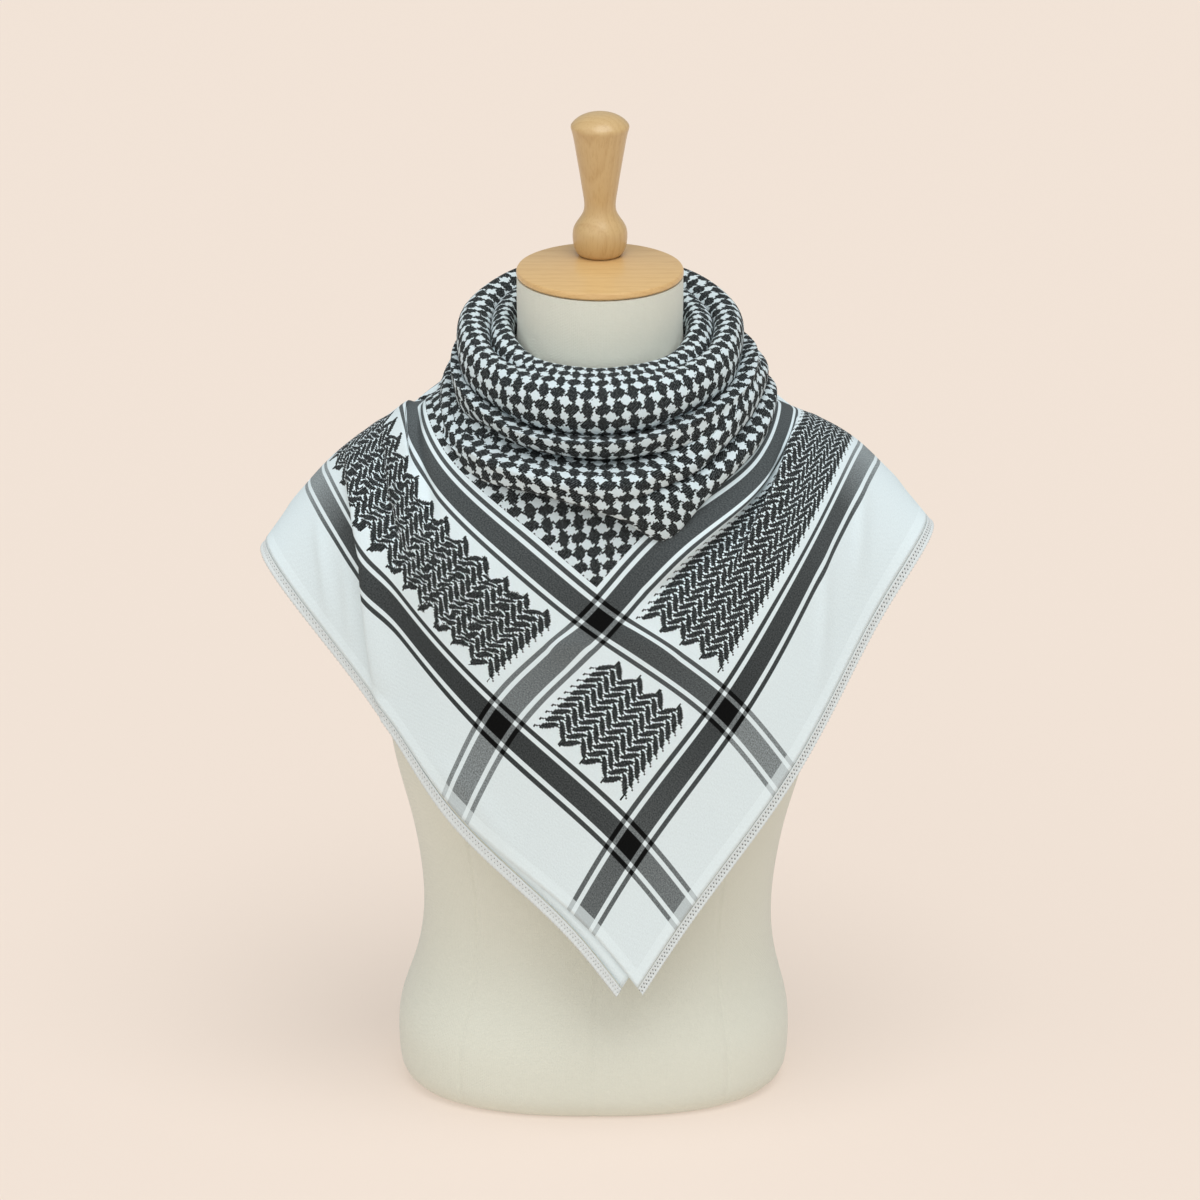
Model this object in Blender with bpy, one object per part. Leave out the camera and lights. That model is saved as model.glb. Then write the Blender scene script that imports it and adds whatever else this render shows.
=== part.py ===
"""A square cotton shawl, folded corner to corner and wound round the neck of a limbless dress form.

Metres, +Z up. The origin is the middle of the form's flat base, the front faces -Y, and the wearer's
right shoulder is at -X. The tables below are in millimetres.
"""
import math

import bmesh
import bpy
import numpy as np

# Driving dimensions, in millimetres
CLOTH_SIDE = 1100.0          # the square shawl's side
WALL = 1.0                   # wall of the cloth solids
LAYER_STEP = 1.6             # from the outer face of the upper layer to that of the under layer
SEAM_GAP = 0.3               # clearance between two solids that meet
EDGING_GAP = 0.7             # clearance between a hem and its edging, measured on the flat cloth
EDGING_WIDTH = 6.8           # worked edging on two opposite sides of the square
EDGING_WALL = 1.2
TIP_SHIFT = 10.6             # how far the under layer's corner hangs beside the upper one, along each hem
TIP_SHIFT_REACH = 125.0      # and the length over which the two layers come together
COWL_WALL = 1.2
NECK_RADIUS = 57.5
NECK_TOP = 592.5
CAP_THICKNESS = 5.4
FORM_SIDES = 48
COWL_SIDES = 60
COWL_PROFILE_STEPS = 20
ARM_KNOTS = (0, 68, 190, 270, 350, 430, 510, 590, 660, 730)
CELLS_TO_TUCK = 11           # cloth cells from the hem to the tuck line
CELLS_TO_NAPE = 19           # and from there to the nape

# The dress form's sections, from the base up
FORM_COLUMNS = "z, half_width, front_depth, back_depth, centre_x, squareness"
FORM_SECTIONS = (
    (0, 124, 93, 88, -4.6, 2.5),
    (2, 129, 96, 93, -4.6, 2.5),
    (8, 135, 100, 97, -4.6, 2.5),
    (22, 138, 102, 99, -4.6, 2.5),
    (45, 138, 101, 99, -4.5, 2.5),
    (80, 129, 94, 93, -3.2, 2.4),
    (122, 123, 88, 85, -1.8, 2.4),
    (165, 126, 92, 86, -1.0, 2.4),
    (205, 134, 101, 90, -0.5, 2.4),
    (243, 144, 113, 94, 0, 2.4),
    (285, 150, 124, 97, 0, 2.4),
    (330, 154, 126.4, 99, 0, 2.4),
    (375, 160, 121, 100, 0, 2.4),
    (410, 170, 107, 99, 0, 2.4),
    (438, 176, 94, 94, 0, 2.3),
    (456, 171, 84, 81, 0, 2.2),
    (474, 152, 76, 69, 0, 2.2),
    (494, 121, 69, 62, 0, 2.1),
    (512, 88, 64, 60, 0, 2.0),
    (528, 64, 59.5, 59, 0, 2.0),
    (545, 58, 57.7, 57.7, 0, 2.0),
    (570, 57.5, 57.5, 57.5, 0, 2.0),
    (592.5, 57.5, 57.5, 57.5, 0, 2.0),
)

# The turned handle, as radius and height above the cap, from its foot to the middle of its domed head
HANDLE_PROFILE = (
    (14.6, 0.0), (15.6, 0.8), (17.6, 4.5), (18.7, 9.0), (19.0, 14.0), (18.4, 18.6), (16.2, 23.0),
    (13.2, 27.5), (11.4, 31.5), (10.9, 36.0), (11.7, 43.0), (14.2, 59.0), (17.2, 77.0), (20.0, 90.6),
    (20.3, 92.6), (19.4, 94.2), (16.0, 97.4), (10.5, 100.2), (5.0, 101.4),
)
HANDLE_BACK = 30.0           # the handle stands behind the middle of the cap

# Where the folded cloth lies. Each row is a distance along the hem from the front tip, and the four
# columns are the cloth on the hem, on the outer band, on the inner band and on the tuck under the cowl
DRAPE_COLUMNS = "hem, outer band, inner band, tuck line"
LEFT_ARM = {
    0: ((26, -130, 114), (60, -129, 169), (127, -116, 264), (162, -92, 321)),
    68: ((-13, -129, 163), (20, -131, 222), (87, -127, 319), (123, -110, 376)),
    190: ((-101, -112, 240), (-70, -125, 309), (0, -130, 387), (50, -113, 440)),
    270: ((-144, -88, 296), (-122, -100, 359), (-59, -120, 435), (-3, -98, 486)),
    350: ((-191, -52, 350), (-164, -64, 407), (-114, -74, 476), (-62, -64, 517)),
    430: ((-233, 0, 395), (-197, 0, 443), (-133, 0, 497), (-75, 0, 525)),
    510: ((-208, 66, 384), (-184, 66, 428), (-118, 62, 477), (-67, 48, 521)),
    590: ((-150, 102, 404), (-128, 98, 456), (-84, 82, 504), (-53, 58, 538)),
    660: ((-82, 110, 440), (-71, 108, 486), (-50, 94, 524), (-38, 66, 547)),
    730: ((-10, 108, 472), (-9, 108, 510), (-8, 96, 536), (-8, 72, 551)),
}
RIGHT_ARM = {
    350: ((196, -54, 375), (158, -70, 432), (109, -72, 475), (58, -64, 514)),
    430: ((228, 0, 413), (186, 0, 462), (130, 0, 497), (75, 0, 525)),
    510: ((204, 66, 398), (178, 66, 438), (116, 62, 477), (67, 48, 521)),
    590: ((148, 102, 408), (126, 98, 458), (84, 82, 504), (53, 58, 538)),
    660: ((82, 110, 440), (71, 108, 486), (50, 94, 524), (38, 66, 547)),
    730: ((10, 108, 472), (9, 108, 510), (8, 96, 536), (8, 72, 551)),
}

# The cowl: its profile as (radius, height) at angles round the neck, 0 at the front, 90 at the wearer's left
COWL_COLUMNS = (
    "tuck at the neck, inner crest, groove, outer crest, first roll, first crease, second roll, "
    "second crease, third roll, lower edge, turned in"
)
COWL = {
    -90: ((59.2, 549), (67, 564), (77, 553), (90, 561), (98, 548), (98, 538), (107, 533), (106, 525),
          (115, 517), (118, 509.5), (114, 510)),
    -60: ((59.4, 543), (68, 554), (79, 549), (92, 551), (102, 538), (102, 527), (114, 520), (112, 511),
          (124, 505), (126, 499), (121, 500)),
    -30: ((59.4, 540), (69, 549), (80, 550), (93, 545), (105, 528), (104, 513), (119, 508), (115.5, 497),
          (131, 491), (130, 483), (125.5, 484)),
    0: ((59.4, 540), (69, 548), (80, 551), (93, 544), (106, 526), (104.5, 508), (121, 503), (117, 491.5),
        (134, 482), (130, 465), (126, 467)),
    20: ((59.4, 540), (69, 549), (80, 551), (93, 546), (106, 529), (104, 513), (121, 507), (117, 494),
         (138, 470), (136, 443), (132, 444)),
    34: ((59.4, 541), (69, 550), (80, 551), (93, 548), (105, 532), (103.5, 517), (120, 512), (117, 498),
         (137, 480), (136, 459), (132, 460)),
    50: ((59.4, 542), (69, 551), (80, 551), (93, 551), (104, 538), (102.5, 524), (117, 519), (116, 504),
         (134, 492), (134, 475), (130, 476)),
    90: ((59.2, 549), (67, 564), (77, 553), (92, 562), (99, 550), (101, 542), (112, 536), (115, 526),
         (122, 517), (126, 508), (122, 508.5)),
    135: ((59.2, 550), (69, 568), (80, 558), (95, 568), (103, 557), (103, 547), (112, 541), (111, 530),
          (122, 524), (126, 515), (122, 515)),
    180: ((59.2, 550), (70, 568), (82, 559), (97, 569), (109, 557), (109, 547), (119, 541), (118, 530),
          (129, 522), (131, 509), (127, 509)),
    -135: ((59.2, 550), (69, 568), (80, 558), (95, 568), (103, 557), (103, 547), (112, 541), (111, 530),
           (122, 524), (126, 515), (122, 515)),
}


def natural_spline(knots, values, at):
    """A smooth curve through values at the knots, read at each place and straight past both ends."""
    knots, values, at = np.asarray(knots, float), np.asarray(values, float), np.asarray(at, float)
    count, gaps = len(knots), np.diff(knots)
    system, right = np.eye(count), np.zeros((count,) + values.shape[1:])
    for i in range(1, count - 1):
        system[i, i - 1:i + 2] = gaps[i - 1], 2 * (gaps[i - 1] + gaps[i]), gaps[i]
        right[i] = 6 * ((values[i + 1] - values[i]) / gaps[i] - (values[i] - values[i - 1]) / gaps[i - 1])
    bend = np.linalg.solve(system, right.reshape(count, -1)).reshape(right.shape)
    inside = np.clip(at, knots[0], knots[-1])
    i = np.clip(np.searchsorted(knots, inside) - 1, 0, count - 2)
    shape = (-1,) + (1,) * (values.ndim - 1)
    gap, left, over = gaps[i].reshape(shape), (inside - knots[i]).reshape(shape), (at - inside).reshape(shape)
    slope = (values[i + 1] - values[i]) / gap - gap * (2 * bend[i] + bend[i + 1]) / 6
    rise = (bend[i + 1] - bend[i]) / gap
    end = slope + bend[i] * left + rise * left ** 2 / 2
    return values[i] + slope * left + bend[i] * left ** 2 / 2 + rise * left ** 3 / 6 + end * over


def drape_net():
    """The cloth's control points, with the far corner, which no solid uses, carried on from its sides."""
    size = len(ARM_KNOTS)
    net = np.zeros((size, size, 3))
    for i, u in enumerate(ARM_KNOTS):
        net[i, :4] = LEFT_ARM[u]
    for j, v in enumerate(ARM_KNOTS[4:], start=4):
        net[:4, j] = RIGHT_ARM[v]
    for i in range(4, size):
        for j in range(4, size):
            net[i, j] = net[i, 3] + net[3, j] - net[3, 3]
    return net


NET = drape_net()


def drape(u, v, inward=0.0):
    """Points of the upper layer's outer face, u along the left hem and v along the right one from the tip."""
    u, v = np.asarray(u, float), np.asarray(v, float)
    unit = np.eye(len(ARM_KNOTS))

    def surface(u_at, v_at):
        return np.einsum("ni,nj,ijk->nk", natural_spline(ARM_KNOTS, unit, u_at),
                         natural_spline(ARM_KNOTS, unit, v_at), NET)

    points = surface(u, v)
    if inward:
        normal = np.cross(surface(u, v + 1) - surface(u, v - 1), surface(u + 1, v) - surface(u - 1, v))
        points = points - inward * normal / np.linalg.norm(normal, axis=1, keepdims=True)
    return points


def tip_shift(u, v):
    """How far the under layer has slipped sideways, which is most at its corner."""
    return TIP_SHIFT * np.exp(-((u + v) / TIP_SHIFT_REACH) ** 2)


def under_layer(u, v, inward=0.0):
    """Points of the under layer's outer face, just inside the upper layer."""
    shift = tip_shift(np.maximum(u, 0), np.maximum(v, 0))
    return drape(u + shift, v - shift, LAYER_STEP + inward)


def material(name, colour, roughness):
    found = bpy.data.materials.new(name)
    found.use_nodes = True
    principled = found.node_tree.nodes["Principled BSDF"]
    principled.inputs["Base Color"].default_value = (*colour, 1)
    principled.inputs["Roughness"].default_value = roughness
    principled.inputs["Metallic"].default_value = 0
    found.diffuse_color = (*colour, 1)
    return found


def node_object(name, mesh_data, made_of, smooth=50):
    mesh = bpy.data.meshes.new(name)
    mesh_data.to_mesh(mesh)
    mesh_data.free()
    mesh.materials.append(made_of)
    mesh.shade_smooth()
    mesh.set_sharp_from_angle(angle=math.radians(smooth))
    placed = bpy.data.objects.new(name, mesh)
    bpy.context.collection.objects.link(placed)
    placed.parent = stand
    return placed


def sheet_of(points, faces):
    sheet = bmesh.new()
    corners = [sheet.verts.new(point / 1000) for point in points]
    for face in faces:
        sheet.faces.new([corners[k] for k in face])
    return sheet


def cloth(name, outer, inner, faces, made_of):
    """A wall of cloth: its outer face, extruded to the inner one."""
    sheet = sheet_of(outer, faces)
    place = sheet.verts.layers.int.new("place")
    for k, vert in enumerate(sheet.verts):
        vert[place] = k
    made = bmesh.ops.extrude_face_region(sheet, geom=list(sheet.faces), use_keep_orig=True)
    for vert in made["geom"]:
        if isinstance(vert, bmesh.types.BMVert):
            vert.co = inner[vert[place]] / 1000
    bmesh.ops.recalc_face_normals(sheet, faces=sheet.faces)
    return node_object(name, sheet, made_of)


def stations():
    """The places along a hem where the cloth solids have their points."""
    to_tuck = np.linspace(0, ARM_KNOTS[3], CELLS_TO_TUCK + 1)
    return np.concatenate([to_tuck, np.linspace(ARM_KNOTS[3], ARM_KNOTS[-1], CELLS_TO_NAPE + 1)[1:]])


def panel(name, surface, made_of):
    """One layer of the folded square: two arms that meet at the front tip, up to the tuck line."""
    along = stations()
    place, at = {}, []
    for i, u in enumerate(along):
        for j, v in enumerate(along):
            if min(i, j) <= CELLS_TO_TUCK:
                place[i, j] = len(at)
                at.append((u, v))
    faces = [
        (place[i, j], place[i, j + 1], place[i + 1, j + 1], place[i + 1, j])
        for i, j in place
        if {(i, j + 1), (i + 1, j + 1), (i + 1, j)} <= place.keys() and min(i, j) < CELLS_TO_TUCK
    ]
    u, v = np.array(at).T
    return cloth(name, surface(u, v), surface(u, v, WALL), faces, made_of)


def edging(name, surface, u, v, made_of):
    """The worked edging, a strip beside a hem; u and v hold its inner line and then its outer one."""
    count = len(u) // 2
    faces = [(count + k, count + k + 1, k + 1, k) for k in range(count - 1)]
    return cloth(name, surface(u, v), surface(u, v, EDGING_WALL), faces, made_of)


def cowl(made_of):
    """The wound part: one ring of cloth whose profile rolls over at the neck and down in creases."""
    angles = sorted(COWL)
    wrapped = [a - 360 for a in angles] + angles + [a + 360 for a in angles]
    table = np.array([COWL[a] for a in angles] * 3, float)
    round_neck = np.arange(COWL_SIDES) * 360 / COWL_SIDES - 180
    columns = natural_spline(wrapped, table, round_neck)
    profile = np.linspace(0, table.shape[1] - 1, COWL_PROFILE_STEPS + 1)
    rings = natural_spline(np.arange(table.shape[1]), np.swapaxes(columns, 0, 1), profile)
    turn = np.radians(round_neck)
    points = np.stack([rings[..., 0] * np.sin(turn), -rings[..., 0] * np.cos(turn), rings[..., 1]], axis=-1)
    faces = []
    for row in range(COWL_PROFILE_STEPS):
        for k in range(COWL_SIDES):
            n = (k + 1) % COWL_SIDES
            faces.append(tuple(r * COWL_SIDES + c for r, c in ((row + 1, k), (row + 1, n), (row, n), (row, k))))
    placed = node_object("shawl_cowl", sheet_of(points.reshape(-1, 3), faces), made_of)
    solidify = placed.modifiers.new("Thickness", "SOLIDIFY")
    solidify.thickness = COWL_WALL / 1000
    solidify.offset = -1
    solidify.use_even_offset = True
    return placed


def loft(name, sections, made_of, smooth=50):
    """A closed solid through rings of points, bridged from each to the next and filled at both ends."""
    body = bmesh.new()
    loops = []
    for section in sections:
        corners = [body.verts.new(np.asarray(point) / 1000) for point in section]
        loops.append([body.edges.new((corners[k - 1], corners[k])) for k in range(len(corners))])
    for lower, upper in zip(loops, loops[1:]):
        bmesh.ops.bridge_loops(body, edges=lower + upper)
    for end in (loops[0], loops[-1]):
        bmesh.ops.edgeloop_fill(body, edges=end)
    bmesh.ops.recalc_face_normals(body, faces=body.faces)
    return node_object(name, body, made_of, smooth)


def form_sections():
    """The form's outline, with its level sections read along a smooth curve through the table."""
    table = np.array(FORM_SECTIONS)
    step = np.hypot(np.diff(table[:, 0]), np.diff(table[:, 1]))
    along = np.concatenate([[0], np.cumsum(step)])
    extra = np.sort(np.concatenate([along, (along[12:-4] + along[13:-3]) / 2]))
    turn = np.radians(np.arange(FORM_SIDES) * 360 / FORM_SIDES)
    sections = []
    for z, half_width, front, back, centre_x, squareness in natural_spline(along, table, extra):
        power = 2 / squareness
        side = np.sign(np.cos(turn)) * np.abs(np.cos(turn)) ** power
        depth = np.sign(np.sin(turn)) * np.abs(np.sin(turn)) ** power
        y = np.where(depth > 0, depth * back, depth * front)
        sections.append(np.stack([centre_x + half_width * side, y, np.full(FORM_SIDES, z)], axis=1))
    return sections


def turned_sections(profile, foot, sides, back=0.0):
    """Rings of a turned piece, back being how far its axis stands behind the neck's."""
    turn = np.radians(np.arange(sides) * 360 / sides)
    return [np.stack([r * np.cos(turn), back + r * np.sin(turn), np.full(sides, foot + h)], axis=1)
            for r, h in profile]


for leftover in list(bpy.data.objects):
    bpy.data.objects.remove(leftover, do_unlink=True)

stand = bpy.data.objects.new("stand_centre", None)
bpy.context.collection.objects.link(stand)

COTTON = material("shawl cotton", (0.72, 0.77, 0.76), 0.75)
CROCHET = material("edging cotton", (0.78, 0.81, 0.80), 0.85)
LINEN = material("form linen", (0.60, 0.60, 0.47), 0.9)
CAP_BEECH = material("cap beech", (0.62, 0.41, 0.20), 0.45)
HANDLE_BEECH = material("handle beech", (0.65, 0.43, 0.21), 0.35)

loft("form_body", form_sections(), LINEN)

CAP_FOOT = NECK_TOP + SEAM_GAP
CAP_TOP = CAP_FOOT + CAP_THICKNESS
CAP_RADIUS = NECK_RADIUS + 0.3
loft("form_neck_cap", turned_sections(
    ((CAP_RADIUS - 1.2, 0), (CAP_RADIUS, 1.2), (CAP_RADIUS, CAP_THICKNESS - 1.6), (CAP_RADIUS - 1.6, CAP_THICKNESS)),
    CAP_FOOT, 48), CAP_BEECH, 25)
loft("form_handle", turned_sections(HANDLE_PROFILE, CAP_TOP + SEAM_GAP, 24, HANDLE_BACK), HANDLE_BEECH)

panel("shawl_upper_layer", drape, COTTON)
panel("shawl_under_layer", under_layer, COTTON)
cowl(COTTON)

along_hem = np.tile(stations(), 2)
beside_hem = -np.repeat([EDGING_GAP, EDGING_GAP + EDGING_WIDTH], len(stations()))
edging("edging_upper", drape, beside_hem, along_hem, CROCHET)
edging("edging_under", under_layer, along_hem, beside_hem, CROCHET)
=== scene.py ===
"""A square cotton shawl, folded corner to corner and wound round the neck of a limbless dress form.

The sections follow the object from the form upwards. Tables are in millimetres, meshes in metres.
"""
import math

import bmesh
import bpy
import numpy as np
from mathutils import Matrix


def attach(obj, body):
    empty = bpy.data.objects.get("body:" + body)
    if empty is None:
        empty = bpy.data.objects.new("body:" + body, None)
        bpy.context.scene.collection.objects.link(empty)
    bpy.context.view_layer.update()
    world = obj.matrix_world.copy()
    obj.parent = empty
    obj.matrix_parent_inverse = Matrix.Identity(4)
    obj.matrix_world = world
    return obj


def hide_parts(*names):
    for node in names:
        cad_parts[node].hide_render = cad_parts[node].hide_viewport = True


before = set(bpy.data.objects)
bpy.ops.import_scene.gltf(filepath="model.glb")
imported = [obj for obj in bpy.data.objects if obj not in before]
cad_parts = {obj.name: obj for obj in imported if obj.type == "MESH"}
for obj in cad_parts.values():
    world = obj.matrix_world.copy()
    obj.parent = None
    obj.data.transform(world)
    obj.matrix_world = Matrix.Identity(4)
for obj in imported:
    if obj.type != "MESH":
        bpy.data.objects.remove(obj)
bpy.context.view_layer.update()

# The camera stands 5.8 m from the form and looks down on it by 20.5 degrees, as in the photo. Its lens
# is long, so the form's sides stay nearly upright.
CAMERA_REACH = 5.8
CAMERA_TILT = math.radians(20.5)
AIM_HEIGHT = 0.3535
SENSOR_WIDTH = 36
LENS = 248.6
camera = bpy.data.objects.new("camera", bpy.data.cameras.new("camera"))
camera.data.sensor_width = SENSOR_WIDTH
camera.data.lens = LENS
camera.location = (0, -CAMERA_REACH * math.cos(CAMERA_TILT),
                   AIM_HEIGHT + CAMERA_REACH * math.sin(CAMERA_TILT))
camera.rotation_euler = (math.pi / 2 - CAMERA_TILT, 0, 0)
bpy.context.collection.objects.link(camera)
bpy.context.scene.camera = camera

# The form's body: a padded torso without limbs, covered in pale linen that is cut in panels and
# joined by flat upright seams. The cover is pulled tight from the round base up to the neck.
FORM_SIDES = 600
FORM_RINGS = 110
SEAM_HALF_WIDTH = 1.3
SEAM_DEPTH = 0.8
SEAM_TOP = 510
SEAM_SIDES = (0.0, 84.0, -84.0)  # how far each seam stands from the middle at the waist, in mm
WAIST_HALF_WIDTH = 123
LINEN_THREADS = 900.0            # to the metre
LINEN_DARK = (0.700, 0.715, 0.615)
LINEN_LIGHT = (0.865, 0.880, 0.785)
FORM_SECTIONS = (                # z, half width, depth in front, depth behind, middle, squareness
    (0, 124, 93, 88, -4.6, 2.5),
    (2, 129, 96, 93, -4.6, 2.5),
    (8, 135, 100, 97, -4.6, 2.5),
    (22, 138, 102, 99, -4.6, 2.5),
    (45, 138, 101, 99, -4.5, 2.5),
    (80, 129, 94, 93, -3.2, 2.4),
    (122, 123, 88, 85, -1.8, 2.4),
    (165, 126, 92, 86, -1.0, 2.4),
    (205, 134, 101, 90, -0.5, 2.4),
    (243, 144, 113, 94, 0, 2.4),
    (285, 150, 124, 97, 0, 2.4),
    (330, 154, 126.4, 99, 0, 2.4),
    (375, 160, 121, 100, 0, 2.4),
    (410, 170, 107, 99, 0, 2.4),
    (438, 176, 94, 94, 0, 2.3),
    (456, 171, 84, 81, 0, 2.2),
    (474, 152, 76, 69, 0, 2.2),
    (494, 121, 69, 62, 0, 2.1),
    (512, 88, 64, 60, 0, 2.0),
    (528, 64, 59.5, 59, 0, 2.0),
    (545, 58, 57.7, 57.7, 0, 2.0),
    (570, 57.5, 57.5, 57.5, 0, 2.0),
    (592.5, 57.5, 57.5, 57.5, 0, 2.0),
)


def smooth_through(knots, values, at):
    """A smooth curve through values at the knots, read at each place and straight past both ends."""
    knots, values, at = np.asarray(knots, float), np.asarray(values, float), np.asarray(at, float)
    count, gaps = len(knots), np.diff(knots)
    system, right = np.eye(count), np.zeros((count,) + values.shape[1:])
    for i in range(1, count - 1):
        system[i, i - 1:i + 2] = gaps[i - 1], 2 * (gaps[i - 1] + gaps[i]), gaps[i]
        before, after = (values[i] - values[i - 1]) / gaps[i - 1], (values[i + 1] - values[i]) / gaps[i]
        right[i] = 6 * (after - before)
    bend = np.linalg.solve(system, right.reshape(count, -1)).reshape(right.shape)
    inside = np.clip(at, knots[0], knots[-1])
    i = np.clip(np.searchsorted(knots, inside) - 1, 0, count - 2)
    shape = (-1,) + (1,) * (values.ndim - 1)
    gap, left = gaps[i].reshape(shape), (inside - knots[i]).reshape(shape)
    over = (at - inside).reshape(shape)
    slope = (values[i + 1] - values[i]) / gap - gap * (2 * bend[i] + bend[i + 1]) / 6
    rise = (bend[i + 1] - bend[i]) / gap
    end = slope + bend[i] * left + rise * left ** 2 / 2
    return values[i] + slope * left + bend[i] * left ** 2 / 2 + rise * left ** 3 / 6 + end * over


def grid_piece(name, columns, rows, shape, coords=None, ring=False, caps=False, keep=None):
    """A grid of cells carried to its place: shape takes (across, along) from 0 to 1 and gives mm points.
    coords gives each point's place on the flat cloth, kept as the piece's UV map in metres. keep picks
    the cells that stay, ring joins the last column to the first, and caps closes both ends."""
    piece = bmesh.new()
    bmesh.ops.create_grid(piece, x_segments=columns, y_segments=rows, size=0.5)
    flat = np.array([vert.co[:2] for vert in piece.verts]) + 0.5
    places = shape(flat[:, 0], flat[:, 1]) / 1000
    marks = coords(flat[:, 0], flat[:, 1]) / 1000 if coords else flat
    piece.verts.index_update()
    layer = piece.loops.layers.uv.new("cloth")
    for face in piece.faces:
        for loop in face.loops:
            loop[layer].uv = marks[loop.vert.index]
    for vert, place in zip(piece.verts, places):
        vert.co = place
    if keep:
        stays = keep(flat[:, 0], flat[:, 1])
        gone = [vert for vert in piece.verts if not stays[vert.index]]
        bmesh.ops.delete(piece, geom=gone, context="VERTS")
    if ring:
        bmesh.ops.remove_doubles(piece, verts=piece.verts, dist=1e-6)
    if caps:
        bmesh.ops.holes_fill(piece, edges=piece.edges, sides=0)
    bmesh.ops.recalc_face_normals(piece, faces=piece.faces)
    return finished(name, piece)


def finished(name, piece, sharp=40):
    """The bmesh as an object, shaded smooth apart from edges sharper than the given degrees."""
    mesh = bpy.data.meshes.new(name)
    piece.to_mesh(mesh)
    piece.free()
    mesh.shade_smooth()
    mesh.set_sharp_from_angle(angle=math.radians(sharp))
    placed = bpy.data.objects.new(name, mesh)
    bpy.context.collection.objects.link(placed)
    return placed


def form_cover_shape(across, along):
    """Points of the cover, across once round the form and along from its base to its neck."""
    table = np.array(FORM_SECTIONS, float)
    step = np.hypot(np.diff(table[:, 0]), np.diff(table[:, 1]))
    lengths = np.concatenate([[0], np.cumsum(step)])
    z, half, front, back, middle, squareness = smooth_through(lengths, table, along * lengths[-1]).T
    turn = across * 2 * math.pi
    power = 2 / squareness
    side = np.sign(np.cos(turn)) * np.abs(np.cos(turn)) ** power
    depth = np.sign(np.sin(turn)) * np.abs(np.sin(turn)) ** power
    x = half * side
    y = depth * np.where(depth > 0, back, front)
    inset = np.zeros_like(x)
    for seam in SEAM_SIDES:
        run = seam * half / WAIST_HALF_WIDTH
        groove = SEAM_DEPTH * np.exp(-((x - run) / SEAM_HALF_WIDTH) ** 2)
        inset += groove * (np.abs(depth) > 0.2) * (z < SEAM_TOP)
    return np.stack([middle + x, y - np.sign(y) * inset, z], axis=1)


form_cover = grid_piece("form_cover", FORM_SIDES, FORM_RINGS, form_cover_shape, ring=True, caps=True)
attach(form_cover, "root")
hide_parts("form_body")


class Field:
    """A number worked out by shader nodes, so that a pattern reads as the sum that it is."""

    def __init__(self, nodes, socket):
        self.nodes, self.socket = nodes, socket

    def math(self, operation, *others, clamp=False):
        node = self.nodes.nodes.new("ShaderNodeMath")
        node.operation = operation
        node.use_clamp = clamp
        for slot, value in enumerate((self, *others)):
            if isinstance(value, Field):
                self.nodes.links.new(value.socket, node.inputs[slot])
            else:
                node.inputs[slot].default_value = value
        return Field(self.nodes, node.outputs[0])

    def __add__(self, other):
        return self.math("ADD", other)

    def __sub__(self, other):
        return self.math("SUBTRACT", other)

    def __mul__(self, other):
        return self.math("MULTIPLY", other)

    def __truediv__(self, other):
        return self.math("DIVIDE", other)

    def __pow__(self, other):
        return self.math("POWER", other)

    def over(self, other):
        return self.math("GREATER_THAN", other)

    def under(self, other):
        return self.math("LESS_THAN", other)

    def size(self):
        return self.math("ABSOLUTE")

    def part(self):
        return self.math("FRACT")

    def whole(self):
        return self.math("FLOOR")

    def swing(self, reach):
        return self.math("PINGPONG", reach)

    def least(self, other):
        return self.math("MINIMUM", other)

    def most(self, other):
        return self.math("MAXIMUM", other)

    def inverse(self):
        return self * -1.0 + 1.0

    def blend(self, low, high):
        """low where this is 0, high where it is 1."""
        span = high - low if isinstance(high, Field) else low * -1.0 + high
        return self * span + low

    def ramp(self, *stops):
        """This number (0 to 1) read through a list of (place, value) stops."""
        node = self.nodes.nodes.new("ShaderNodeValToRGB")
        self.nodes.links.new(self.socket, node.inputs[0])
        points = node.color_ramp.elements
        points[0].position, points[1].position = stops[0][0], stops[-1][0]
        points[0].color, points[1].color = ((*[stop[1]] * 3, 1) for stop in (stops[0], stops[-1]))
        for place, value in stops[1:-1]:
            points.new(place).color = (value, value, value, 1)
        return Field(self.nodes, node.outputs["Color"])


def effect(name, inputs, outputs):
    """An empty node group with named sockets: its inputs as fields, and its output node."""
    group = bpy.data.node_groups.new(name, "ShaderNodeTree")
    for label, kind, default in inputs:
        socket = group.interface.new_socket(label, in_out="INPUT", socket_type=kind)
        if default is not None:
            socket.default_value = default
    for label, kind in outputs:
        group.interface.new_socket(label, in_out="OUTPUT", socket_type=kind)
    start, end = group.nodes.new("NodeGroupInput"), group.nodes.new("NodeGroupOutput")
    return group, {label: Field(group, start.outputs[label]) for label, _, _ in inputs}, end


def axes(field):
    """The three components of a vector field."""
    split = field.nodes.nodes.new("ShaderNodeSeparateXYZ")
    field.nodes.links.new(field.socket, split.inputs[0])
    return [Field(field.nodes, split.outputs[k]) for k in range(3)]


def noise(field, scale, detail=2.0, rough=0.5):
    """Soft noise from 0 to 1 on a vector field."""
    node = field.nodes.nodes.new("ShaderNodeTexNoise")
    field.nodes.links.new(field.socket, node.inputs["Vector"])
    for label, value in (("Scale", scale), ("Detail", detail), ("Roughness", rough)):
        node.inputs[label].default_value = value
    return Field(field.nodes, node.outputs["Fac"])


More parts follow.
